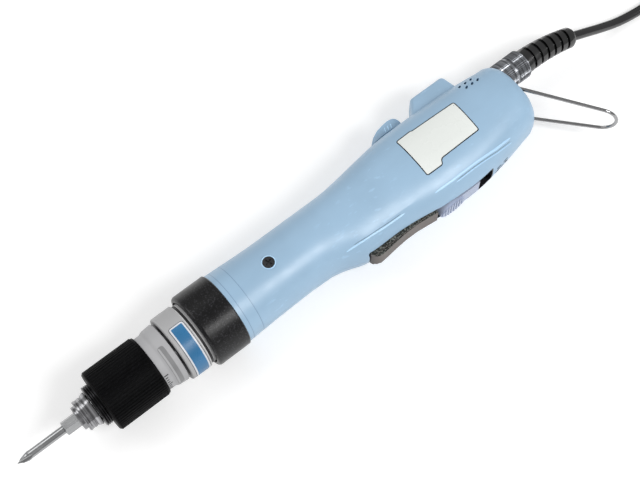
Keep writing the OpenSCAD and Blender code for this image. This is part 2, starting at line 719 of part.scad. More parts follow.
module bit_sleeve() {
    shoulder = sleeve_back + sleeve_taper;
    front = shoulder + sleeve_body;
    color("#1b1b1c") turned([[sleeve_back, sleeve_bore], [sleeve_back, sleeve_r + 0.5],
        [sleeve_back + 0.4, sleeve_r + 0.9], [shoulder - 0.4, sleeve_r + 0.1], [shoulder - 0.2, sleeve_r - 0.3],
        [shoulder + 0.1, sleeve_r - 0.3], [shoulder + 0.3, sleeve_r], [shoulder + 1.2, sleeve_r],
        [shoulder + 1.4, sleeve_r - 0.2], [shoulder + 2.4, sleeve_r - 0.2], [shoulder + 2.6, sleeve_r],
        [front - 0.3, sleeve_r], [front, sleeve_r - 0.3], [front, sleeve_lip_r],
        [front + sleeve_lip - 0.3, sleeve_lip_r], [front + sleeve_lip, sleeve_lip_r - 0.3],
        [front + sleeve_lip, 4.4], [front + 0.6, 4.4], [front + 0.6, sleeve_lip_r - 0.7],
        [front - 0.2, sleeve_cavity_r - 0.6], [front - 0.2, sleeve_cavity_r],
        [sleeve_back + sleeve_land, sleeve_cavity_r], [sleeve_back + sleeve_land, sleeve_bore]]);
}

module sleeve_spring() {
    start = sleeve_back + sleeve_land + 0.1;
    color("#a8aaad") coil(start, clip_x - 0.1 - start, 5.8, 0.35, 2.5, 12, 5);
}

module sleeve_clip() {
    color("#777a7e") difference() {
        ring(clip_x + 0.02, clip_w - 0.04, sleeve_cavity_r - free_gap - 0.3, spindle_nose_r - 0.59);
        translate([clip_x - 1, -1.2, 0]) cube([3, 2.4, 10]);
    }
}

// ---- planetary gearbox ----

module sun_gear(x, length, bore) { across(x, length) outer_gear(sun_teeth, bore); }

module sun_gear_1() {
    color("#c0a060") sun_gear(stage_1 - 0.5, planet_w + 0.6, shaft_r + 0.01);
}

// Carrier plate with its hub; the sun gear of the next stage sits on the hub
module carrier_1() {
    plate = stage_1 + planet_w + 0.5;
    color("#8a8c90") difference() {
        union() {
            ring(plate, plate_w, carrier_r, 0);
            rod(plate, plate_w + 1.2 + planet_w + 0.8, hub_r);
        }
        around(planet_count) translate([plate - 1, planet_path, 0]) rotate([0, 90, 0])
            cylinder(h = plate_w + 2, r = pin_r + 0.01);
    }
}

module planet_pins(x) {
    around(planet_count) translate([x + 0.3, planet_path, 0]) rotate([0, 90, 0])
        cylinder(h = planet_w + 0.2 + plate_w, r = pin_r);
}
module planet_pins_1() { color("#d0d2d5") planet_pins(stage_1); }
module planet_pins_2() { color("#d0d2d5") planet_pins(stage_2); }

// One planet gear, k steps round the carrier
module planet(x, k) {
    turn = 360 / planet_count * k;
    color("#b8babd") rotate([turn, 0, 0]) translate([0, planet_path, 0])
        across(x, planet_w) rotate(180 / planet_teeth) outer_gear(planet_teeth, pin_r + run_fit);
}
module planet_1a() { planet(stage_1, 0); }
module planet_1b() { planet(stage_1, 1); }
module planet_1c() { planet(stage_1, 2); }
module planet_2a() { planet(stage_2, 0); }
module planet_2b() { planet(stage_2, 1); }
module planet_2c() { planet(stage_2, 2); }

module sun_gear_2() {
    color("#c0a060") sun_gear(stage_2 - 0.7, planet_w + 0.7, hub_r + 0.01);
}

module carrier_2() {
    plate = stage_2 + planet_w + 0.5;
    color("#8a8c90") difference() {
        union() {
            ring(plate, plate_w, carrier_r, 0);
            rod(plate, spindle_back - plate, output_r);
        }
        around(planet_count) translate([plate - 1, planet_path, 0]) rotate([0, 90, 0])
            cylinder(h = plate_w + 2, r = pin_r + 0.01);
    }
}

module output_bearing() {
    color("#c8cacd") difference() {
        ring(output_web + 0.02, output_bearing_w - 0.04, output_bearing_r - 0.02, output_r + run_fit);
        for (x = [output_web - 0.4, output_web + output_bearing_w - 0.2])
            ring(x, 0.6, output_bearing_r - 1.2, output_r + 1.2);
    }
}

// ---- motor ----

module motor_can() {
    color("#777a7e") ring(motor_back, motor_len, motor_r, motor_r - can_wall);
}

module motor_magnets() {
    color("#4a4a4d") for (side = [20, 200]) rotate([side, 0, 0]) rotate([0, 90, 0])
        translate([0, 0, rotor_x - 1]) rotate_extrude(angle = 140)
            translate([motor_r - can_wall - magnet_w - 0.01, 0]) square([magnet_w, rotor_len + 2]);
}

// Plate that closes the front of the motor, takes the radial screws and holds the gear case
module motor_front_plate() {
    can_bore = motor_r - can_wall - 0.01;
    color("#8d9094") difference() {
        turned([[motor_front - 3, bearing_r + 0.01], [motor_front - 3, can_bore], [motor_front + 0.01, can_bore],
            [motor_front + 0.01, case_r - 0.3], [gear_back - 0.01, case_r - 0.3],
            [gear_back - 0.01, shaft_r + 1], [motor_front + 1, shaft_r + 1], [motor_front + 1, bearing_r + 0.01]]);
        for (side = [0, 180]) rotate([side, 0, 0]) translate([front_screw_x, 0, 8]) cylinder(h = 12, r = 1.51);
    }
}

// Rear cap of the motor, with the bearing seat and two brush guides
module motor_end_cap() {
    color("#2c2c2e") difference() {
        turned([[motor_back - end_cap_w, shaft_r + 1], [motor_back - end_cap_w, motor_r - 1],
            [motor_back - end_cap_w + 1, motor_r], [motor_back - 0.01, motor_r],
            [motor_back - 0.01, motor_r - can_wall - 0.01],
            [motor_back + brush_x + brush_w + 1, motor_r - can_wall - 0.01],
            [motor_back + brush_x + brush_w + 1, commutator_r + 2], [motor_back + brush_x - 1.5, commutator_r + 2],
            [motor_back + brush_x - 1.5, motor_r - can_wall - 2], [motor_back + 1, motor_r - can_wall - 2],
            [motor_back + 1, bearing_r + 0.01], [motor_back - end_cap_w + 1.5, bearing_r + 0.01],
            [motor_back - end_cap_w + 1.5, shaft_r + 1]]);
        for (side = [0, 180]) rotate([side, 0, 0])
            translate([motor_back + brush_x - 0.02, -brush_t / 2 - 0.02, commutator_r])
                cube([brush_w + 0.04, brush_t + 0.04, motor_r - can_wall - commutator_r - 0.4]);
    }
}

module motor_bearings() {
    color("#c8cacd") for (x = [motor_back - end_cap_w + 1.52, motor_front - 3]) difference() {
        ring(x, bearing_w - 0.04, bearing_r, shaft_r + run_fit);
        for (face = [x - 0.3, x + bearing_w - 0.34]) ring(face, 0.6, bearing_r - 0.8, shaft_r + 0.8);
    }
}

module brushes() {
    color("#3a3a3c") for (side = [0, 180]) rotate([side, 0, 0])
        translate([motor_back + brush_x, -brush_t / 2, commutator_r + free_gap])
            cube([brush_w, brush_t, motor_r - can_wall - commutator_r - 2 * free_gap]);
}

// Shaft and slotted iron core
module rotor() {
    color("#8b4a2b") difference() {
        union() {
            rod(motor_back - end_cap_w + 1.8, stage_1 + planet_w + 0.1 - motor_back + end_cap_w - 1.8, shaft_r);
            rod(rotor_x, rotor_len, rotor_r);
        }
        around(rotor_slots) translate([rotor_x - 1, -0.8, rotor_r * 0.5]) cube([rotor_len + 2, 1.6, rotor_r]);
    }
}

module commutator() {
    color("#b87333") difference() {
        ring(motor_back + brush_x - 1.5, brush_w + 3, commutator_r, shaft_r + 0.01);
        around(rotor_slots, 180 / rotor_slots) translate([motor_back + brush_x - 2, -0.2, commutator_r - 0.7])
            cube([brush_w + 4, 0.4, 2]);
    }
}

// ---- start lever ----

// Side view of the lever: [x, y] from its tip back along the outer face, then inside
lever_top = grip_front - 0.6;
lever_outline = [
    [lever_front, lever_top - 3.6], [lever_front - 0.6, lever_top - 2.2], [lever_front - 1.8, lever_top - 0.9],
    [lever_front - 4, lever_top - 0.1], [lever_front - 8, lever_top - 0.4], [lever_front - 14, lever_top - 1.1],
    [lever_front - 21, lever_top - 1.6], [lever_front - 28, lever_top - 1.5], [lever_front - 34, lever_top - 0.8],
    [lever_back, lever_top - 0.2], [lever_back, pin_y], [lever_back + 1.6, lever_floor + 1.8],
    [pin_x + 3, lever_floor + 2], [pin_x + 10, lever_floor + 3.2], [lever_front - 6, lever_floor + 5],
    [lever_front - 1, lever_floor + 5.4]];

module lever_prism(half_w) {
    translate([0, 0, -half_w]) linear_extrude(height = 2 * half_w) children();
}

module start_lever() {
    color("#6d625c") difference() {
        union() {
            difference() {
                union() {
                    lever_prism(lever_half_w - 0.7) polygon(lever_outline);
                    lever_prism(lever_half_w) intersection() {
                        polygon(lever_outline);
                        translate([lever_back - 1, 0]) square([60, lever_top - 1.9]);
                    }
                }
                // hollow underside
                translate([pin_x + 4, lever_floor - 1, 2 - lever_half_w])
                    cube([lever_front - pin_x - 9, lever_top - lever_floor - 2.6, 2 * lever_half_w - 4]);
            }
            // nub over the start switch
            translate([switch_nub_x - 1, lever_floor + 2.1, -1.5]) cube([2, lever_top - lever_floor - 5, 3]);
        }
        translate([pin_x, pin_y, -10]) cylinder(h = 20, r = lever_pin_r + run_fit);
    }
}

module lever_pin() {
    color("#c9cbce") translate([pin_x, pin_y, -lever_slot_w - 3.2])
        cylinder(h = 2 * lever_slot_w + 6.4, r = lever_pin_r);
}

// Return spring between the floor and the hollow of the lever
module lever_spring() {
    low = lever_floor + 1.25;
    high = lever_top - 3.65;
    color("#b6b8bb") translate([lever_front - 13, 0, 0]) rotate([0, 0, 90])
        coil(low, high - low, 2.1, 0.3, 4, 12, 5);
}

module start_switch() {
    color("#222224") {
        translate([motor_back - end_cap_w - 14.2, 8.8, -2.9]) cube([12.8, 6.5, 5.8]);
        translate([switch_nub_x - 1, 15.2, -1]) cube([2, 1.7, 2]);
        for (leg = [0:2]) translate([motor_back - end_cap_w - 12.8 + 4.6 * leg, 5.6, -0.4]) cube([0.8, 3.3, 0.8]);
    }
}

// ---- sliders ----

function oval(a, b, sides = 36) = [for (i = [0:sides - 1]) [a * cos(360 * i / sides), b * sin(360 * i / sides)]];

// Ribbed oval knob with a smooth tail; it slides in the recess behind the lever
module direction_slider() {
    mid = slider_front - knob_len / 2;
    color("#a9b3d6") difference() {
        union() {
            translate([mid, knob_top - 0.5, 0]) rotate([90, 0, 0])
                linear_extrude(height = 4) polygon(oval(knob_len / 2, slider_half_w));
            translate([mid, knob_top, 0]) rotate([90, 0, 0])
                linear_extrude(height = 1) polygon(oval(knob_len / 2 - 0.6, slider_half_w - 0.6));
            // tail and guide plate
            translate([slider_front - slider_len, slider_top - 3, 0.6 - slider_half_w])
                cube([slider_len - knob_len / 2, 3, 2 * slider_half_w - 1.2]);
            // stem to the switch
            translate([mid - 8, lever_floor + 4.4, -1.5]) cube([5, slider_top - lever_floor - 6, 3]);
        }
        for (k = [-3:3]) translate([mid + 1.7 * k - 0.35, knob_top - 0.4, -slider_half_w])
            cube([0.7, 1, 2 * slider_half_w]);
    }
}

module direction_switch() {
    color("#242426") translate([slider_front - 26, 10.5, -3.6]) cube([19, lever_floor - 6.5, 7.2]);
    color("#c8b070") for (leg = [0:2]) translate([slider_front - 23 + 6 * leg, 7, -0.4]) cube([0.8, 3.6, 0.8]);
}

// Low domed knob on the back of the grip
module mode_slider() {
    rise = [[0, 0.5], [0.12, 2.2], [0.3, 3.6], [0.5, 4.4], [0.72, 4.9], [0.88, 4.7], [0.96, 3.8], [1, 2.2]];
    color("#a3add2") {
        translate([0, 0, 0]) difference() {
            intersection() {
                translate([0, 0, -mode_half_w]) linear_extrude(height = 2 * mode_half_w) polygon(concat(
                    [[mode_front, -mode_base]],
                    [for (p = rise) [mode_front - mode_len * p[0], -mode_base - p[1] / 4.9 * mode_rise]],
                    [[mode_front - mode_len, -mode_base]]));
                translate([mode_front - mode_len / 2, 0, 0]) rotate([90, 0, 0])
                    linear_extrude(height = 40) polygon(oval(mode_len / 2 + 1.4, mode_half_w + 0.2));
            }
        }
        translate([mode_front - 12, -mode_base - 1, -1.7]) cube([5, 6.2, 3.4]);
    }
}

module mode_switch() {
    color("#242426") translate([mode_front - 19, 5.6 - mode_base, -3.2]) cube([16, 5.5, 6.4]);
    color("#c8b070") for (leg = [0:2]) translate([mode_front - 17 + 5 * leg, 11 - mode_base, -0.4])
        cube([0.8, 3.4, 0.8]);
}

module circuit_board() {
    color("#2f6b45") translate([board_back, -8, board_z]) cube([board_len, 17, 1.6]);
    color("#2a2a2c") for (k = [0:2]) translate([board_back + 6 + 9 * k, -5 + 3 * k, board_z + 1.6])
        cube([6, 5, 2.2]);
    color("#3b4e86") translate([board_back + 30, -3.5, board_z + 1.6]) cylinder(h = 8, r = 3);
}

// ---- rear end ----

// Wire loop, drawn lying straight back and then swung to its resting place: legs that
// draw together from the pivots to a round end
module bail() {
    wire = bail_wire / 2;
    end_r = bail_end_r + wire;
    reach = bail_len - end_r - wire;
    lean = atan(bail_half_w / reach) - asin(end_r / norm([reach, bail_half_w]));
    pivot = [0, 0, bail_half_w];
    bend = [for (k = [0:12]) let (a = 90 - lean - k / 12 * (180 - 2 * lean))
        [-reach - end_r * cos(a), 0, end_r * sin(a)]];
    color("#c6c8cb") translate([bail_x, bail_y, 0]) rotate([0, 0, -bail_rest]) {
        swept(concat([pivot, (pivot + bend[0]) / 2], bend,
            [(bend[12] - pivot) / 2, -pivot]), wire, 12, [0, 1, 0]);
        for (side = [-1, 1]) translate([0, 0, side * (bail_half_w - 1) - 1.9]) cylinder(h = 3.8, r = wire + 0.05);
    }
}

module connector_socket() {
    color("#5e6063") translate([0, connector_y, 0]) difference() {
        rod(-housing_len - 12, rear_wall + 15, socket_r);
        rod(-housing_len - 13, 9, socket_r - 1);
    }
    color("#c8b070") for (k = [0:3]) rotate([0, 0, 0]) translate([0, connector_y, 0]) rotate([90 * k, 0, 0])
        translate([rear_wall + 2.9 - housing_len, 2.6, 0]) rotate([0, 90, 0]) cylinder(h = 4, r = 0.6);
}

module coupling_ring() {
    step = 360 / 48;
    knurl = [for (i = [0:47]) each [[coupling_r - 0.35, i], [coupling_r, i + 0.5]]];
    color("#8b8d90") translate([0, connector_y, 0]) difference() {
        union() {
            rod(coupling_back, coupling_len, coupling_r - 0.5);
            for (x = [coupling_back + 0.6, coupling_back + coupling_len / 2 + 0.9]) across(x, coupling_len / 2 - 1.5)
                polygon([for (p = knurl) p[0] * [cos(p[1] * step), sin(p[1] * step)]]);
        }
        rod(-housing_len - 12.4, 30, socket_r + run_fit);
        rod(coupling_back - 1, 30, 5.4);
    }
}

// Bend relief: its front end plugs into the socket, and from the coupling ring back it
// droops a little under its own weight
function boot_line(t) = [coupling_back - 0.4 - boot_len * t, connector_y + 2.4 * t ^ 2, -4.6 * t ^ 2];
boot_segments = 7;
boot_rings = concat([[-0.37, 4.6], [-0.36, socket_r - 1.02], [-0.14, socket_r - 1.02], [-0.135, 5.1],
        [0, 5.1], [0.005, 6.5]],
    [for (k = [0:boot_segments - 1]) for (f = [[0.03, 0], [0.68, 0], [0.72, 1.3], [0.97, 1.3]])
        if (k < boot_segments - 1 || f[0] < 0.7) [(k + f[0]) / boot_segments, 6.5 - 1.2 * k / boot_segments - f[1]]],
    [[1, 4.6]]);
module cord_boot() {
    color("#17171a") loft([for (i = [len(boot_rings) - 1:-1:0])
        let (b = boot_rings[i], here = boot_line(max(b[0], 0)) + [max(-b[0], 0) * boot_len, 0, 0],
             d = unit(boot_line(max(b[0], 0) + 0.01) - boot_line(max(b[0], 0) - 0.01)),
             side = unit(cross([0, 0, 1], d)), up = cross(d, side))
        [for (k = [0:19]) here + b[1] * (cos(18 * k) * side + sin(18 * k) * up)]]);
}

// Route of the cord from the boot down to the surface and along it to the coil
cord_z = floor_z + cord_d / 2;
// Each row: distance behind the boot, Y, and share of the way down to the surface
cord_steps = [[0, -9.5, 0], [5.1, -8.6, 0.15], [11.1, -7.7, 0.333], [17.1, -6.8, 0.525],
    [23.1, -5.9, 0.7], [29.1, -5, 0.85], [35.1, -4.2, 0.95], [42.1, -3.4, 1], [49.1, -2.7, 1],
    [56.1, -2.1, 1], [63.1, -1.6, 1], [71.1, -1.2, 1], [79.1, -1, 1], [86.1, -1, 1]];
cord_start = boot_line(1);
cord_route = [for (p = cord_steps)
    [cord_start[0] - p[0], p[1], cord_start[2] + p[2] * (cord_z - cord_start[2])]];
module cord_cable() {
    color("#121214") swept(cord_route, cord_d / 2, 10, [0, 0, 1]);
}

// The rest of the cord, wound into a coil: 5 turns across and 2 high
coil_at = [cord_start[0] - 93.6, -39.5];
coil_mid_r = 28.5;
coil_w = 5 * cord_d;
coil_h = 2 * cord_d;
coil_lift = 0.6;
module cord_coil() {
    color("#121214") translate([coil_at[0], coil_at[1], floor_z + coil_lift]) rotate_extrude()
        translate([coil_mid_r - coil_w / 2, 0]) square([coil_w, coil_h]);
}

module coil_tie() {
    color("#303033") translate([coil_at[0] - coil_mid_r, coil_at[1] - 3, floor_z]) difference() {
        translate([-coil_w / 2 - 0.6, 0, 0]) cube([coil_w + 1.2, 6, coil_h + 2 * coil_lift]);
        translate([-coil_w / 2 - 0.3, -1, coil_lift - 0.01]) cube([coil_w + 0.6, 8, coil_h + 0.02]);
    }
}

// Round plug on the far end of the cord
plug_r = 7;
module cord_plug() {
    at = [coil_at[0] + 16, coil_at[1] - coil_mid_r - coil_w / 2 + cord_d / 2, floor_z + plug_r];
    color("#2a2b2e") translate(at) rotate([0, 90, 0]) {
        cylinder(h = 12, r1 = 3.4, r2 = 4.6);
        translate([0, 0, 12]) cylinder(h = 17, r = plug_r);
        translate([0, 0, 29]) difference() {
            cylinder(h = 9, r = plug_r - 1);
            translate([0, 0, 1]) cylinder(h = 9, r = plug_r - 1.8);
        }
    }
}

left_housing();
right_housing();
housing_screws();
front_screws();
nose_nut();
gear_case();
ring_gear();
clutch_tube();
scale_ring();
spindle_bush();
motor_can();
motor_magnets();
motor_front_plate();
motor_end_cap();
motor_bearings();
brushes();
rotor();
commutator();
sun_gear_1();
carrier_1();
planet_pins_1();
planet_1a();
planet_1b();
planet_1c();
sun_gear_2();
carrier_2();
planet_pins_2();
planet_2a();
planet_2b();
planet_2c();
output_bearing();
clutch_cam();
clutch_balls();
pressure_ring();
clutch_spring();
spring_seat();
torque_collar();
spindle();
bit();
bit_ball();
bit_sleeve();
sleeve_spring();
sleeve_clip();
start_lever();
lever_pin();
lever_spring();
start_switch();
direction_slider();
direction_switch();
mode_slider();
mode_switch();
circuit_board();
bail();
connector_socket();
coupling_ring();
cord_boot();
cord_cable();
cord_coil();
cord_plug();
coil_tie();
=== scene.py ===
import json
import math

import bmesh
import bpy
from mathutils import Matrix, Vector
from mathutils.bvhtree import BVHTree
from mathutils.geometry import delaunay_2d_cdt


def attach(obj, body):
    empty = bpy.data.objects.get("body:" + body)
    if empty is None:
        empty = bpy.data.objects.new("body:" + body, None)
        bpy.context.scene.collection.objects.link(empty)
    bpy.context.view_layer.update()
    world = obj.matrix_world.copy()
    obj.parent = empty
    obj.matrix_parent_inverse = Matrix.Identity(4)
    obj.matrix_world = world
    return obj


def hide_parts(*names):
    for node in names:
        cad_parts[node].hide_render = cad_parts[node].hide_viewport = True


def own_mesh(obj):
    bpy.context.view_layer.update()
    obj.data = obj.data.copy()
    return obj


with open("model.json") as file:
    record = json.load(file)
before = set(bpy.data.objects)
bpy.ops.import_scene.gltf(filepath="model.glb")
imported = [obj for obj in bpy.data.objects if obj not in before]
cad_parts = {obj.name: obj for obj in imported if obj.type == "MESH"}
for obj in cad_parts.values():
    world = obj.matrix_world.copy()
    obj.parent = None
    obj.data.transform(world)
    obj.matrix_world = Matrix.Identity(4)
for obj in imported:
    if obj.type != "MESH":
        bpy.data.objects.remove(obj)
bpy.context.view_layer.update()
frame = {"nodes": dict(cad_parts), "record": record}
nodes = frame["nodes"]

MM = 0.001
FLOOR_Z = -19.1 * MM
scene = bpy.context.scene


def new_object(name, data, body=None):
    obj = bpy.data.objects.new(name, data)
    scene.collection.objects.link(obj)
    if body:
        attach(obj, body)
    return obj


# ---- camera ----
YAW = math.radians(14.7)      # turn about the axis of the start lever
LEAN = math.radians(19.5)     # turn about the drive axis, towards the lever
ROLL = math.radians(36.5)     # slant of the tool in the picture
DISTANCE = 0.6
AIM = Vector((-0.0642, 0, 0))
SENSOR_WIDTH = 36
FOCAL_LENGTH = 71.325
CLIP_START = 0.01

back = Vector((math.sin(YAW), math.cos(YAW) * math.sin(LEAN), math.cos(YAW) * math.cos(LEAN)))
level_right = Vector((-math.cos(YAW), math.sin(YAW) * math.sin(LEAN), math.sin(YAW) * math.cos(LEAN)))
level_up = back.cross(level_right)
right = math.cos(ROLL) * level_right - math.sin(ROLL) * level_up
up = math.sin(ROLL) * level_right + math.cos(ROLL) * level_up
camera = new_object("camera", bpy.data.cameras.new("camera"))
camera.data.sensor_width = SENSOR_WIDTH
camera.data.lens = FOCAL_LENGTH
camera.data.clip_start = CLIP_START
turned = Matrix((right, up, back)).transposed().to_4x4()
camera.matrix_world = Matrix.Translation(AIM + DISTANCE * back) @ turned
scene.camera = camera


# ---- materials ----
class Nodes:
    """A node tree that is built up by short calls."""

    def __init__(self, name):
        self.mat = bpy.data.materials.new(name)
        self.mat.use_nodes = True
        self.tree = self.mat.node_tree
        self.bsdf = self.tree.nodes["Principled BSDF"]
        self.coords = self.node("ShaderNodeTexCoord").outputs["Object"]

    def node(self, kind, **settings):
        n = self.tree.nodes.new(kind)
        for key, value in settings.items():
            setattr(n, key, value)
        return n

    def link(self, source, target):
        """Joins a socket to the target, or sets the target to a constant."""
        if hasattr(source, "is_linked"):
            self.tree.links.new(source, target)
        else:
            target.default_value = source

    def math(self, operation, *inputs):
        n = self.node("ShaderNodeMath", operation=operation)
        for i, value in enumerate(inputs):
            self.link(value, n.inputs[i])
        return n.outputs[0]

    def noise(self, per_metre, detail=2.0, stretch=(1, 1, 1)):
        mapping = self.node("ShaderNodeMapping")
        self.link(self.coords, mapping.inputs["Vector"])
        mapping.inputs["Scale"].default_value = stretch
        n = self.node("ShaderNodeTexNoise")
        n.inputs["Scale"].default_value = per_metre
        n.inputs["Detail"].default_value = detail
        self.link(mapping.outputs[0], n.inputs["Vector"])
        return n.outputs[0]

    def ramp(self, value, low, high, to_low=0.0, to_high=1.0):
        n = self.node("ShaderNodeMapRange")
        for i, v in enumerate((value, low, high, to_low, to_high)):
            self.link(v, n.inputs[i])
        return n.outputs[0]

    def mix(self, factor, a, b):
        n = self.node("ShaderNodeMix", data_type="RGBA")
        self.link(factor, n.inputs[0])
        for value, socket in ((a, n.inputs[6]), (b, n.inputs[7])):
            self.link((*value, 1) if isinstance(value, tuple) else value, socket)
        return n.outputs[2]

    def axis(self, k):
        n = self.node("ShaderNodeSeparateXYZ")
        self.link(self.coords, n.inputs[0])
        return n.outputs[k]

    def between(self, value, low, high):
        above_low = self.math("GREATER_THAN", value, low)
        return self.math("MULTIPLY", above_low, self.math("LESS_THAN", value, high))

    def bump(self, heights):
        """heights: list of (value, distance in metres, strength)"""
        normal = None
        for value, distance, strength in heights:
            n = self.node("ShaderNodeBump")
            n.inputs["Strength"].default_value = strength
            n.inputs["Distance"].default_value = distance
            self.link(value, n.inputs["Height"])
            if normal is not None:
                self.link(normal, n.inputs["Normal"])
            normal = n.outputs[0]
        self.link(normal, self.bsdf.inputs["Normal"])


def shade(colour, factor):
    return tuple(min(1.0, c * factor) for c in colour)


DRIFT_PER_METRE = 35          # clouds of colour, about 30 mm wide
DRIFT_LEVELS = (0.35, 0.65)
SPECK_LEVELS = (0.56, 0.66)
GLOSS_LEVELS = (0.3, 0.7)
PLASTIC_GLOSS_PER_METRE = 90
PLASTIC_GLOSS_STEP = 0.06
METAL_GLOSS_PER_METRE = 120
METAL_GLOSS_SHARES = (0.8, 1.25)
METAL_LINE_DEPTH = 0.01 * MM
METAL_LINE_LEVELS = (0.3, 0.7)


def plastic(name, colour, rough, grain=2600, depth=0.02, strength=0.25, drift=0.05, speck=0.0, extra=None,
            gloss=0.5, speck_gain=1.6):
    """Moulded plastic: slow drift of colour, fine grain (per metre, depth in mm), uneven gloss."""
    t = Nodes(name)
    t.bsdf.inputs["Specular IOR Level"].default_value = gloss
    clouds = t.ramp(t.noise(DRIFT_PER_METRE, detail=3), *DRIFT_LEVELS)
    base = t.mix(clouds, shade(colour, 1 - drift), shade(colour, 1 + drift))
    fine = t.noise(grain, detail=2)
    if speck:
        base = t.mix(t.ramp(fine, *SPECK_LEVELS, 0, speck), base, shade(colour, speck_gain))
    heights = [(fine, depth * MM, strength)]
    if extra:
        base = extra(t, base, heights)
    t.link(base, t.bsdf.inputs["Base Color"])
    uneven = t.noise(PLASTIC_GLOSS_PER_METRE, detail=4)
    t.link(t.ramp(uneven, *GLOSS_LEVELS, rough - PLASTIC_GLOSS_STEP, rough + PLASTIC_GLOSS_STEP),
           t.bsdf.inputs["Roughness"])
    t.bump(heights)
    return t.mat


def metal(name, colour, rough, stretch=(1, 1, 1), grain=900, strength=0.15, metallic=1.0, drift=0.08):
    """Machined metal: brushed or turned lines along the stretched noise."""
    t = Nodes(name)
    lines = t.noise(grain, detail=3, stretch=stretch)
    base = t.mix(t.ramp(lines, *METAL_LINE_LEVELS), shade(colour, 1 - drift), shade(colour, 1 + drift))
    t.link(base, t.bsdf.inputs["Base Color"])
    t.bsdf.inputs["Metallic"].default_value = metallic
    low, high = METAL_GLOSS_SHARES
    uneven = t.noise(METAL_GLOSS_PER_METRE, detail=3)
    t.link(t.ramp(uneven, *GLOSS_LEVELS, rough * low, rough * high), t.bsdf.inputs["Roughness"])
    t.bump([(lines, METAL_LINE_DEPTH, strength)])
    return t.mat


TURNED = (1, 0.03, 0.03)
DRAWN = (0.03, 1, 1)
HOUSING = (0.335, 0.50, 0.665)
SEAM_COLOUR = (0.12, 0.2, 0.33)
# painted shade for the slot of the direction knob
SLOT_SHADE_COLOUR = (0.008, 0.009, 0.012)
# painted shade of a groove on the gear case, and a painted highlight on its front edge
GROOVE_SHADE_COLOUR = (0.012, 0.012, 0.013)
GROOVE_EDGE_HIGHLIGHT_COLOUR = (0.8, 0.8, 0.8)
FLANK_COLOUR = (0.02, 0.022, 0.02)
FLANK_SPECK_COLOUR = (0.20, 0.21, 0.19)

SLOT_X = (-151.2 * MM, -115.5 * MM)         # the direction knob's slot, painted near-black as painted shade
SLOT_FROM_Y = 14 * MM
SLOT_HALF_WIDTH = 5.45 * MM
JOINT_HALF_WIDTH = 0.12 * MM
NECK_LINES_X = (-10.8 * MM, -16.6 * MM)     # two fine lines behind the nose nut
NECK_LINE_HALF_WIDTH = 0.13 * MM
LINE_DEPTH = 0.3 * MM
GROOVE_SHADE_X = (10.6 * MM, 11.8 * MM)           # painted shade of a groove on the gear case, ahead of the nose nut
# painted highlight on the groove's front edge
GROOVE_EDGE_HIGHLIGHT_X = (11.9 * MM, 12.4 * MM)

FLOW_SHADE, FLOW_SHARE = 1.12, 0.35         # lighter streaks of the moulding
FLOW_LEVELS = (0.52, 0.7)
WEAR_SHADE, WEAR_SHARE = 1.28, 0.5          # fine light marks, in some areas only
WEAR_LEVELS = (0.6, 0.68)
WEAR_AREA_LEVELS = (0.45, 0.6)
LINE_SHARE, LINE_STRENGTH = 0.55, 0.6
FLANK_FROM = 0.6                            # a face counts as a flank when it faces Z more than this
FLANK_SPECK_LEVELS = (0.5, 0.62)


def housing_lines(t, base, heights):
    """Moulding marks, painted shade in the direction knob's slot, the joint between the shells, and the two
    neck lines.
    """
    x, y, z = t.axis(0), t.axis(1), t.axis(2)
    flow = t.ramp(t.noise(60, detail=4, stretch=(0.35, 1, 1)), *FLOW_LEVELS, 0, FLOW_SHARE)
    base = t.mix(flow, base, shade(HOUSING, FLOW_SHADE))
    fine_wear = t.ramp(t.noise(420, detail=5, stretch=(0.4, 1, 1)), *WEAR_LEVELS)
    worn_areas = t.ramp(t.noise(28, detail=2), *WEAR_AREA_LEVELS, 0, WEAR_SHARE)
    base = t.mix(t.math("MULTIPLY", fine_wear, worn_areas), base, shade(HOUSING, WEAR_SHADE))
    within_width = t.math("LESS_THAN", t.math("ABSOLUTE", z), SLOT_HALF_WIDTH)
    on_lever_side = t.math("GREATER_THAN", y, SLOT_FROM_Y)
    # painted shade: the slot's opening is coloured near-black
    slot_shade = t.math("MULTIPLY", t.between(x, *SLOT_X), t.math("MULTIPLY", on_lever_side, within_width))
    base = t.mix(slot_shade, base, SLOT_SHADE_COLOUR)
    joint = t.math("COMPARE", z, 0.0, JOINT_HALF_WIDTH)
    neck_lines = [t.math("COMPARE", x, at, NECK_LINE_HALF_WIDTH) for at in NECK_LINES_X]
    lines = t.math("MAXIMUM", joint, t.math("MAXIMUM", *neck_lines))
    heights.append((t.math("SUBTRACT", 1.0, lines), LINE_DEPTH, LINE_STRENGTH))
    return t.mix(t.math("MULTIPLY", lines, LINE_SHARE), base, SEAM_COLOUR)


def case_lines(t, base, heights):
    """Painted shade where a groove lies and a painted highlight on its front edge."""
    x = t.axis(0)
    base = t.mix(t.between(x, *GROOVE_SHADE_X), base, GROOVE_SHADE_COLOUR)
    return t.mix(t.between(x, *GROOVE_EDGE_HIGHLIGHT_X), base, GROOVE_EDGE_HIGHLIGHT_COLOUR)


def lever_sides(t, base, heights):
    """Darker, speckled colour on the faces that face Z, beside the outer face."""
    facing = t.node("ShaderNodeSeparateXYZ")
    t.link(t.node("ShaderNodeTexCoord").outputs["Normal"], facing.inputs[0])
    flank = t.math("GREATER_THAN", t.math("ABSOLUTE", facing.outputs[2]), FLANK_FROM)
    speckle = t.ramp(t.noise(1300, detail=3), *FLANK_SPECK_LEVELS)
    return t.mix(flank, base, t.mix(speckle, FLANK_COLOUR, FLANK_SPECK_COLOUR))


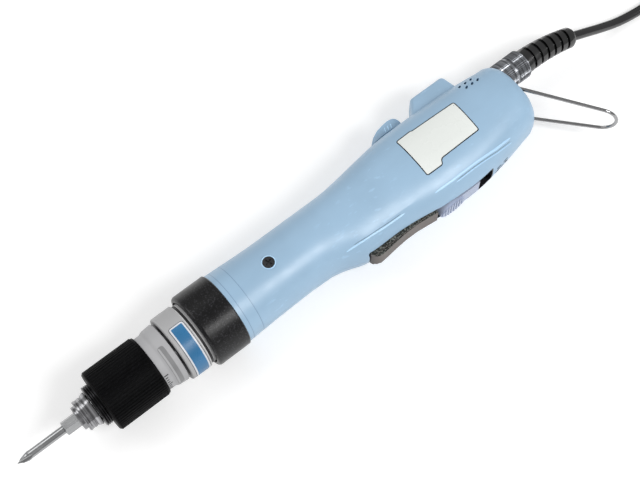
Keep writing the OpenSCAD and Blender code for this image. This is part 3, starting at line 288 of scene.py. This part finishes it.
looks = {
    "housing_blue": plastic("housing_plastic", HOUSING, rough=0.36, grain=1900, depth=0.03, strength=0.3,
                            drift=0.04, extra=housing_lines),
    "nut_black": plastic("nut_plastic", (0.003, 0.003, 0.0034), rough=0.32, grain=1500, depth=0.04,
                         strength=0.6, drift=0.2, speck=0.9, gloss=0.3, speck_gain=12),
    "case_grey": plastic("case_coating", (0.44, 0.44, 0.445), rough=0.5, grain=1500, depth=0.01, strength=0.2,
                         drift=0.04, extra=case_lines, gloss=0.3),
    "scale_grey": plastic("scale_coating", (0.44, 0.44, 0.45), rough=0.5, grain=1500, depth=0.01,
                          strength=0.2, gloss=0.3),
    "collar_black": plastic("collar_plastic", (0.0012, 0.0012, 0.0014), rough=0.5, grain=2200, depth=0.03,
                            strength=0.3, drift=0.2, speck=0.5, gloss=0.07, speck_gain=14),
    "tube_black": metal("tube_metal", (0.03, 0.03, 0.032), rough=0.25, stretch=TURNED, grain=1200,
                        strength=0.1, metallic=0.9, drift=0.1),
    "chrome": metal("chrome_metal", (0.36, 0.365, 0.37), rough=0.22, stretch=DRAWN, grain=1200,
                    strength=0.08),
    "steel": metal("steel_metal", (0.5, 0.51, 0.52), rough=0.28, stretch=TURNED, grain=1400, strength=0.12),
    "dark_steel": metal("dark_metal", (0.10, 0.10, 0.105), rough=0.2, stretch=TURNED, strength=0.3,
                        metallic=0.95, drift=0.5),
    "spring_steel": metal("spring_metal", (0.45, 0.46, 0.48), rough=0.3),
    "bronze": metal("bronze_metal", (0.5, 0.33, 0.14), rough=0.35, stretch=TURNED),
    "copper": metal("copper_metal", (0.6, 0.28, 0.13), rough=0.3, stretch=TURNED),
    "core_iron": metal("core_metal", (0.22, 0.11, 0.06), rough=0.5, stretch=TURNED, grain=3000, strength=0.3,
                       metallic=0.3),
    "ferrite": plastic("ferrite", (0.04, 0.04, 0.042), rough=0.6),
    "carbon": plastic("carbon", (0.03, 0.03, 0.03), rough=0.6),
    "gear_steel": metal("gear_metal", (0.45, 0.44, 0.42), rough=0.32, stretch=DRAWN),
    "motor_zinc": metal("motor_metal", (0.42, 0.43, 0.44), rough=0.4, stretch=TURNED),
    "cap_black": plastic("cap_plastic", (0.02, 0.02, 0.021), rough=0.45),
    "lever_grey": plastic("lever_plastic", (0.165, 0.145, 0.135), rough=0.5, grain=1500, depth=0.05,
                          strength=0.4, drift=0.08, extra=lever_sides, gloss=0.25),
    "knob_blue": plastic("knob_plastic", (0.41, 0.47, 0.62), rough=0.34, grain=1700, strength=0.2,
                         drift=0.06),
    "switch_black": plastic("switch_plastic", (0.02, 0.02, 0.021), rough=0.4),
    "board_green": plastic("board_laminate", (0.02, 0.1, 0.05), rough=0.35),
    "ring_knurled": metal("knurl_metal", (0.27, 0.28, 0.30), rough=0.2, stretch=TURNED, grain=1200,
                          metallic=0.95, drift=0.7),
    "socket_metal": metal("socket_metal", (0.2, 0.21, 0.22), rough=0.35, stretch=TURNED),
    "boot_rubber": plastic("boot_rubber", (0.003, 0.003, 0.0034), rough=0.16, grain=1800, depth=0.03,
                           strength=0.2, drift=0.2, gloss=0.9),
    "cord_black": plastic("cord_jacket", (0.006, 0.006, 0.007), rough=0.16, grain=900, strength=0.1,
                          drift=0.2, gloss=0.9),
    "plug_black": plastic("plug_plastic", (0.02, 0.02, 0.022), rough=0.4),
    "tie_black": plastic("tie_strap", (0.025, 0.025, 0.027), rough=0.55),
}
own_looks = {                 # nodes that look unlike the rest of their slot
    "mode_slider": plastic("mode_plastic", shade(HOUSING, 0.95), rough=0.36, grain=1700, strength=0.2,
                           drift=0.06),
    "bit_sleeve": metal("sleeve_metal", (0.30, 0.30, 0.31), rough=0.16, stretch=TURNED, grain=700,
                        strength=0.35, drift=0.7),
    "bail": metal("bail_metal", (0.34, 0.34, 0.345), rough=0.15, stretch=DRAWN, grain=1200, strength=0.1),
}
slot_of = {part["node"]: part["material_slot"] for part in frame["record"]["subparts"]}

SHARP_CAD_EDGE = math.radians(32)
SHARP_SHEET_EDGE = math.radians(40)
WELD_DISTANCE = 2e-6


def shade_smooth(mesh):
    for polygon in mesh.polygons:
        polygon.use_smooth = True


def smooth_with_edges(obj):
    """Smooth shading that keeps the sharp edges."""
    shade_smooth(obj.data)
    weld = obj.modifiers.new("weld", "WELD")
    weld.merge_threshold = WELD_DISTANCE
    split = obj.modifiers.new("split", "EDGE_SPLIT")
    split.split_angle = SHARP_CAD_EDGE
    obj.modifiers.new("normals", "WEIGHTED_NORMAL").keep_sharp = True


for name, obj in nodes.items():
    obj.data.materials.clear()
    obj.data.materials.append(own_looks.get(name, looks[slot_of[name]]))
    smooth_with_edges(obj)

# ---- cord: chosen points in millimetres, then the turns of the coil, then the run into the plug ----
CORD_D = 5 * MM
COIL_AT = Vector((-330.5, -39.5)) * MM
COIL_GAP = 0.6 * MM           # between the floor and the lowest turn
COIL_LOW = FLOOR_Z + COIL_GAP + CORD_D / 2
TURN_RADII = [38.5, 33.5, 28.5, 23.5, 18.5, 18.5, 23.5, 28.5, 33.5, 38.5]
CLIMBING_TURN = 4             # the turn that climbs from the lower layer to the upper one
TURN_COUNT = 9.5
PER_TURN = 48
SHIFT_FROM = 0.8              # share of a turn after which the cord moves to the next radius
ROUTE_STEPS = 4
ROUTE = [(-236.9, -9.5, -4.6), (-242, -8.6, -6.4), (-248, -7.7, -8.6), (-254, -6.8, -10.9), (-260, -5.9, -13),
         (-266, -5, -14.8), (-272, -4.2, -16), (-279, -3.4, -16.6), (-286, -2.7, -16.6), (-293, -2.1, -16.6),
         (-300, -1.6, -16.6), (-308, -1.2, -16.5), (-316, -1, -16.3), (-323, -1, -16.1)]
PLUG_STEPS = 2
PLUG_RUN = [(-326.5, -78, -11.1), (-322.5, -78, -11.5), (-318, -78, -11.9), (-314, -78, -12.1)]


def curve_through(points, steps):
    """Catmull-Rom curve through points."""
    p = [Vector(q) for q in points]
    p = [2 * p[0] - p[1]] + p + [2 * p[-1] - p[-2]]
    out = []
    for i in range(1, len(p) - 2):
        for k in range(steps):
            t = k / steps
            out.append(0.5 * (2 * p[i] + (p[i + 1] - p[i - 1]) * t
                              + (2 * p[i - 1] - 5 * p[i] + 4 * p[i + 1] - p[i + 2]) * t * t
                              + (3 * p[i] - p[i - 1] - 3 * p[i + 1] + p[i + 2]) * t ** 3))
    out.append(p[-2])
    return out


def coil_point(turn):
    """Point of the coil after that many turns, in metres."""
    whole = min(int(turn), len(TURN_RADII) - 1)
    after = min(whole + 1, len(TURN_RADII) - 1)
    share = max(0.0, (turn - whole - SHIFT_FROM) / (1 - SHIFT_FROM))
    ease = share * share * (3 - 2 * share)
    r = (TURN_RADII[whole] + (TURN_RADII[after] - TURN_RADII[whole]) * ease) * MM
    if whole == CLIMBING_TURN:
        rise = ease
    else:
        rise = 1 if whole > CLIMBING_TURN else 0
    a = math.pi / 2 + 2 * math.pi * turn
    return Vector((COIL_AT.x + r * math.cos(a), COIL_AT.y + r * math.sin(a), COIL_LOW + rise * CORD_D))


cord_line = [q * MM for q in curve_through(ROUTE, ROUTE_STEPS)]
cord_line += [coil_point(k / PER_TURN) for k in range(int(TURN_COUNT * PER_TURN) + 1)]
cord_line += [q * MM for q in curve_through(PLUG_RUN, PLUG_STEPS)]
cord_data = bpy.data.curves.new("cord", "CURVE")
cord_data.dimensions = "3D"
spline = cord_data.splines.new("POLY")
spline.points.add(len(cord_line) - 1)
for point, q in zip(spline.points, cord_line):
    point.co = (*q, 1)
cord_data.bevel_depth = CORD_D / 2
cord_data.bevel_resolution = 5
cord_data.use_fill_caps = True
cord_data.materials.append(looks["cord_black"])
cord = new_object("cord", cord_data, "tool_body")
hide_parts("cord_cable", "cord_coil")

# ---- tools for thin pieces that lie on the surfaces ----
RAY_START = 60 * MM           # rays start this far from the drive axis, outside the tool
OUTLINE_PITCH = 0.9 * MM
CORNER_SHARE = 2.1            # a corner is cut back by its edge's length over this at most
FINE_PITCH = 0.6              # mm, grid of the small sheets
SHEET_ROOT = 0.15             # mm of a sheet's thickness below the surface
SHEET_MARGIN = 0.45           # share of the pitch that stays free of grid points inside a rim
RIDGE_ROOT = 0.12             # mm
RIDGE_FACETS = 8
RIDGE_TAPER = 8               # each end tapers over 1 part in this many of the length
RIDGE_TIP = 0.3               # share of the width that is left at the ends


def surface_of(name):
    """A tree of that CAD node's faces that rays can be cast on."""
    mesh = nodes[name].data
    return BVHTree.FromPolygons([v.co for v in mesh.vertices], [list(p.vertices) for p in mesh.polygons])


def from_above(tree):
    """Places (x, y) seen from +Z: the point on the surface and its normal."""
    def place(x, y):
        hit, normal, _, _ = tree.ray_cast(Vector((x, y, RAY_START)), Vector((0, 0, -1)))
        return hit, normal
    return place


def from_side(upper, lower):
    """Places (x, z) seen from +Y, on the upper shell or on the lower one."""
    def place(x, z):
        tree = upper if z >= 0 else lower
        hit, normal, _, _ = tree.ray_cast(Vector((x, RAY_START, z)), Vector((0, -1, 0)))
        return hit, normal
    return place


def round_axis(tree, radius):
    """Places (x, arc) round the drive axis; arc 0 is the +Z line, positive towards +Y."""
    def place(x, arc):
        out = Vector((0, math.sin(arc / radius), math.cos(arc / radius)))
        hit, _, _, _ = tree.ray_cast(Vector((x, 0, 0)) + out * RAY_START, -out)
        return hit, out
    return place


def rounded(corners, radius, steps=5):
    """Closed outline in metres, anticlockwise, through corners in millimetres, each rounded off."""
    corners = [Vector(c) * MM for c in corners]
    if sum(a.x * b.y - b.x * a.y for a, b in zip(corners, corners[1:] + corners[:1])) < 0:
        corners.reverse()
    out = []
    for i, here in enumerate(corners):
        before, after = corners[i - 1], corners[(i + 1) % len(corners)]
        cut = min(radius * MM, (before - here).length / CORNER_SHARE, (after - here).length / CORNER_SHARE)
        a = (before - here).normalized() * cut
        b = (after - here).normalized() * cut
        out += [here + a * (1 - k / steps) ** 2 + b * (k / steps) ** 2 for k in range(steps + 1)]
    fine = []
    for a, b in zip(out, out[1:] + out[:1]):
        parts = max(1, math.ceil((b - a).length / OUTLINE_PITCH))
        fine += [a.lerp(b, k / parts) for k in range(parts)]
    return fine


def rectangle(x0, x1, y0, y1):
    return [(x0, y0), (x1, y0), (x1, y1), (x0, y1)]


def grown(outline, by):
    """The outline moved outward by that many millimetres."""
    out = []
    for i, here in enumerate(outline):
        along = (outline[(i + 1) % len(outline)] - outline[i - 1]).normalized()
        out.append(here + Vector((along.y, -along.x)) * by * MM)
    return out


def is_inside(point, outline):
    crossings = 0
    for a, b in zip(outline, outline[1:] + outline[:1]):
        if (a.y > point.y) != (b.y > point.y):
            crossings += point.x < (b.x - a.x) * (point.y - a.y) / (b.y - a.y) + a.x
    return crossings % 2 == 1


def sheet(name, outline, place, material, lift, body="tool_body", pitch=1.2):
    """A thin sheet of that outline on the surface, its top lift millimetres proud."""
    low = [min(p[k] for p in outline) for k in (0, 1)]
    high = [max(p[k] for p in outline) for k in (0, 1)]
    step = pitch * MM
    columns, rows = (int((high[k] - low[k]) / step) + 1 for k in (0, 1))
    grid = [Vector((low[0] + (i + 0.5) * step, low[1] + (j + 0.5) * step))
            for i in range(columns) for j in range(rows)]
    room = grown(outline, -SHEET_MARGIN * pitch)
    flat = outline + [q for q in grid if is_inside(q, room)]
    rim = [(i, (i + 1) % len(outline)) for i in range(len(outline))]
    flat, _, faces, _, _, _ = delaunay_2d_cdt(flat, rim, [list(range(len(outline)))], 1, 1e-9)
    placed = [place(q.x, q.y) for q in flat]
    mesh = bpy.data.meshes.new(name)
    mesh.from_pydata([point + normal * lift * MM for point, normal in placed], [], [list(f) for f in faces])
    mesh.materials.append(material)
    if mesh.polygons[0].normal.dot(placed[mesh.polygons[0].vertices[0]][1]) < 0:
        mesh.flip_normals()
    shade_smooth(mesh)
    obj = new_object(name, mesh, body)
    thick = obj.modifiers.new("thickness", "SOLIDIFY")
    thick.thickness = (lift + SHEET_ROOT) * MM
    thick.offset = -1
    split = obj.modifiers.new("split", "EDGE_SPLIT")
    split.split_angle = SHARP_SHEET_EDGE


def ridge(name, points, place, width, height, material, body="tool_body", steps=60):
    """A rounded rib along points in millimetres, tapering off at both ends."""
    spots = [Vector(p) * MM for p in points]
    line = []
    for k in range(steps + 1):
        t = k / steps * (len(spots) - 1)
        i = min(int(t), len(spots) - 2)
        q = spots[i].lerp(spots[i + 1], t - i)
        end = min(1.0, RIDGE_TAPER * k / steps, RIDGE_TAPER * (1 - k / steps))
        line.append((*place(q.x, q.y), math.sin(end * math.pi / 2)))
    verts = []
    for k, (point, normal, share) in enumerate(line):
        along = (line[min(k + 1, steps)][0] - line[max(k - 1, 0)][0]).normalized()
        side = normal.cross(along).normalized()
        for j in range(RIDGE_FACETS + 1):
            a = math.pi * j / RIDGE_FACETS
            across = side * math.cos(a) * width / 2 * MM * (RIDGE_TIP + (1 - RIDGE_TIP) * share)
            outward = normal * (math.sin(a) * height * share - RIDGE_ROOT) * MM
            verts.append(point + across + outward)
    per_ring = RIDGE_FACETS + 1
    faces = []
    for k in range(steps):
        first = k * per_ring
        for a in range(first, first + RIDGE_FACETS):
            faces.append((a, a + per_ring, a + per_ring + 1, a + 1))
        last = first + RIDGE_FACETS
        faces.append((last, last + per_ring, first + per_ring, first))
    faces.append(tuple(range(per_ring)))
    faces.append(tuple(steps * per_ring + j for j in range(RIDGE_FACETS, -1, -1)))
    mesh = bpy.data.meshes.new(name)
    mesh.from_pydata(verts, [], faces)
    mesh.materials.append(material)
    new_object(name, mesh, body)
    bm = bmesh.new()
    bm.from_mesh(mesh)
    bmesh.ops.recalc_face_normals(bm, faces=bm.faces)
    bm.to_mesh(mesh)
    bm.free()
    shade_smooth(mesh)


# ---- labels, scale, marks and ribs ----
def paint(name, colour, rough, drift):
    return plastic(name, colour, rough, grain=1200, depth=0.01, strength=0.2, drift=drift)


label_white = plastic("label_white", (0.82, 0.85, 0.82), rough=0.28, grain=900, depth=0.01, strength=0.1,
                      drift=0.02)
label_line = plastic("label_line", (0.004, 0.005, 0.008), rough=0.4, gloss=0.2)
label_blue = paint("label_blue", (0.03, 0.17, 0.36), rough=0.32, drift=0.12)
label_rim = plastic("label_rim", (0.72, 0.74, 0.78), rough=0.35, grain=1200, depth=0.01, strength=0.1,
                    drift=0.03)
strip_grey = paint("strip_grey", (0.24, 0.24, 0.245), rough=0.45, drift=0.15)
mark_dark = plastic("mark_dark", (0.03, 0.04, 0.055), rough=0.5, gloss=0.2)
# painted highlight: a lighter blue for the ribs and the screw rims
rib_highlight_blue = plastic("rib_highlight_plastic", shade(HOUSING, 1.5), rough=0.3, grain=1900, depth=0.03, strength=0.2,
                   drift=0.04)
# painted shade: a darker blue for the thin ribs beside them
seam_shade_blue = plastic("seam_shade_plastic", shade(HOUSING, 0.45), rough=0.5, grain=1900, depth=0.03, strength=0.2,
                    drift=0.04)

upper_shell = surface_of("left_housing")
on_shell = from_above(upper_shell)
plate = rounded([(-119.1, 12.3), (-119.3, -11), (-128.3, -11.2), (-129.2, -10.7), (-154.9, -9.9),
                 (-154.3, 9.5), (-130, 9.9), (-128.9, 12.5)], radius=1.3)
sheet("plate_edge", plate, on_shell, label_line, lift=0.06)
sheet("plate", grown(plate, -0.5), on_shell, label_white, lift=0.1)

CASE_R = 16.7 * MM
on_case = round_axis(surface_of("gear_case"), CASE_R)
badge = rounded(rectangle(12.9, 20.9, -2.7, 32), radius=1.6)
sheet("badge_edge", badge, on_case, label_line, lift=0.04)
sheet("badge_rim", grown(badge, -0.25), on_case, label_rim, lift=0.07)
sheet("badge", grown(badge, -1.05), on_case, label_blue, lift=0.1)

SCALE_R = 14.8 * MM
TICKS = 9
TICK_PITCH = 1.5
TICK_WIDTH = 0.45
TICK_ARC = 13.5               # arc at which the first tick stands
TICK_FRONT = 33.9
LONG_TICK, SHORT_TICK = 2.2, 1.4
LONG_EVERY = 4
on_scale = round_axis(surface_of("scale_ring"), SCALE_R)
strip = rounded(rectangle(26.5, 29.7, 0.8, 24), radius=1.4)
sheet("scale_strip", strip, on_scale, strip_grey, lift=0.05)
for k in range(TICKS):
    at = TICK_ARC + TICK_PITCH * k
    length = SHORT_TICK if k % LONG_EVERY else LONG_TICK
    tick = rounded(rectangle(TICK_FRONT - length, TICK_FRONT, at, at + TICK_WIDTH), radius=0.1, steps=2)
    sheet("scale_tick_%d" % k, tick, on_scale, label_line, lift=0.05, pitch=FINE_PITCH)

on_lever_side = from_side(upper_shell, surface_of("right_housing"))
direction_marks = {           # a plain double arrow and two bars behind the direction knob
    "mark_left": [(-153.6, -3.2), (-156.4, -0.4), (-156.4, -3.2)],
    "mark_bar": [(-157.2, -3.0), (-160.2, -3.0), (-160.2, -2.2), (-157.2, -2.2)],
    "mark_right": [(-161.0, -3.2), (-161.0, -0.4), (-163.8, -3.2)],
    "mark_low": [(-154.4, 0.5), (-157.4, 0.5), (-157.4, 1.1), (-154.4, 1.1)],
    "mark_high": [(-159.4, 0.5), (-162.4, 0.5), (-162.4, 1.1), (-159.4, 1.1)],
}
for name, corners in direction_marks.items():
    mark = rounded(corners, radius=0.2, steps=2)
    sheet(name, mark, on_lever_side, mark_dark, lift=0.08, pitch=FINE_PITCH)

# fine ribs beside the grip and the lever, coloured lighter than the housing as painted highlight, and thin
# dark ribs beside them as painted shade
side_line = [(-116.5, 19.9), (-128, 20.3), (-142, 20.2), (-156, 20.4), (-167, 19.8)]
side_shade_line = [(x, y + 0.95) for x, y in side_line[1:]]
side_edge = [(x, y + 1.5) for x, y in side_line[1:]]
lever_line = [(-66, 16.0), (-76, 17.2), (-88, 18.1), (-101.5, 18.6)]
lever_shade_line = [(-70, 15.8), (-79, 16.9), (-90, 17.5), (-100, 17.9)]
ridge("side_line", side_line, on_shell, width=1.3, height=0.4, material=rib_highlight_blue)
ridge("side_shade_line", side_shade_line, on_shell, width=0.4, height=0.2, material=seam_shade_blue)
ridge("side_edge", side_edge, on_shell, width=0.6, height=0.3, material=rib_highlight_blue)
ridge("lever_line", lever_line, on_shell, width=1.0, height=0.3, material=rib_highlight_blue)
ridge("lever_shade_line", lever_shade_line, on_shell, width=0.4, height=0.2, material=seam_shade_blue)

MODE_RIBS = 3
MODE_RIB_X = -124.6
MODE_RIB_PITCH = 1.9
on_mode = from_above(surface_of("mode_slider"))
# three ribs on the mode knob, in the lighter blue of painted highlight
for k in range(MODE_RIBS):
    x = MODE_RIB_X - MODE_RIB_PITCH * k
    ends = [(x + 0.6, -22.9), (x - 0.6, -25.4)]
    ridge("mode_rib_%d" % k, ends, on_mode, width=0.6, height=0.25, material=rib_highlight_blue, body="mode_knob",
          steps=10)

# ---- rims round the heads of the two front screws, in the lighter blue of painted highlight ----
RIM_X = -34.2
RIM_PROFILE = ((2.85, 17.25), (3.0, 17.52), (3.35, 17.56), (3.55, 17.3))      # radius, height above the axis
RIM_POINTS = 40
RIM_THICKNESS = 0.15


def screw_rim(name, side):
    verts = []
    for i in range(RIM_POINTS):
        a = 2 * math.pi * i / RIM_POINTS
        for radius, height in RIM_PROFILE:
            verts.append(Vector((RIM_X + radius * math.cos(a), radius * math.sin(a), side * height)) * MM)
    per_ring = len(RIM_PROFILE)
    faces = []
    for i in range(RIM_POINTS):
        for j in range(per_ring - 1):
            a = per_ring * i + j
            b = per_ring * ((i + 1) % RIM_POINTS) + j
            faces.append((a, b, b + 1, a + 1) if side > 0 else (a, a + 1, b + 1, b))
    mesh = bpy.data.meshes.new(name)
    mesh.from_pydata(verts, [], faces)
    # painted highlight: the rim takes the lighter rib colour
    mesh.materials.append(rib_highlight_blue)
    rim = new_object(name, mesh, "tool_body")
    rim.modifiers.new("thickness", "SOLIDIFY").thickness = -RIM_THICKNESS * MM
    shade_smooth(mesh)


screw_rim("screw_rim_0", 1)
screw_rim("screw_rim_1", -1)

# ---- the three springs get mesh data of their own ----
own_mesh(nodes["clutch_spring"])
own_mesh(nodes["sleeve_spring"])
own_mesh(nodes["lever_spring"])

# ---- stage ----
FLOOR_COLOUR = (0.82, 0.82, 0.82, 1)
FLOOR_ROUGHNESS = 0.9
FLOOR_GLOW = 0.35             # only for rays from the camera and in reflections
FLOOR_DROP = 0.2 * MM
FLOOR_HALF = 6
WORLD_COLOUR = (1, 1, 1, 1)
WORLD_LIGHT = 0.42
WORLD_SEEN = 1.0              # level that the camera sees behind the floor


def floor_material():
    t = Nodes("floor")
    t.bsdf.inputs["Base Color"].default_value = FLOOR_COLOUR
    t.bsdf.inputs["Roughness"].default_value = FLOOR_ROUGHNESS
    rays = t.node("ShaderNodeLightPath")
    seen = t.math("MAXIMUM", rays.outputs["Is Camera Ray"],
                  t.math("MAXIMUM", rays.outputs["Is Glossy Ray"], rays.outputs["Is Transmission Ray"]))
    glow = t.node("ShaderNodeEmission")
    t.link(t.math("MULTIPLY", seen, FLOOR_GLOW), glow.inputs["Strength"])
    both = t.node("ShaderNodeAddShader")
    t.link(t.bsdf.outputs[0], both.inputs[0])
    t.link(glow.outputs[0], both.inputs[1])
    t.link(both.outputs[0], t.tree.nodes["Material Output"].inputs["Surface"])
    return t.mat


floor_mesh = bpy.data.meshes.new("floor")
floor_corners = ((-FLOOR_HALF, -FLOOR_HALF), (FLOOR_HALF, -FLOOR_HALF),
                 (FLOOR_HALF, FLOOR_HALF), (-FLOOR_HALF, FLOOR_HALF))
floor_mesh.from_pydata([(x, y, FLOOR_Z - FLOOR_DROP) for x, y in floor_corners], [], [(0, 1, 2, 3)])
floor = new_object("floor", floor_mesh)
floor_mesh.materials.append(floor_material())

world = bpy.data.worlds.new("world")
world.use_nodes = True
sky = world.node_tree.nodes["Background"]
sky.inputs["Color"].default_value = WORLD_COLOUR
path = world.node_tree.nodes.new("ShaderNodeLightPath")
level = world.node_tree.nodes.new("ShaderNodeMapRange")
level.inputs["To Min"].default_value = WORLD_LIGHT
level.inputs["To Max"].default_value = WORLD_SEEN
world.node_tree.links.new(path.outputs["Is Camera Ray"], level.inputs["Value"])
world.node_tree.links.new(level.outputs[0], sky.inputs["Strength"])
scene.world = world


def lamp(name, at, size, power, aim=(-0.07, 0, 0)):
    data = bpy.data.lights.new(name, "AREA")
    data.size = size
    data.energy = power
    obj = new_object(name, data)
    obj.location = at
    obj.rotation_euler = (Vector(aim) - Vector(at)).to_track_quat("-Z", "Y").to_euler()


lamp("key", at=(-0.45, 0.8, 0.95), size=0.5, power=9.5)
lamp("fill", at=(0.4, -0.75, 1.0), size=0.9, power=5.5)

scene.view_settings.view_transform = "Standard"
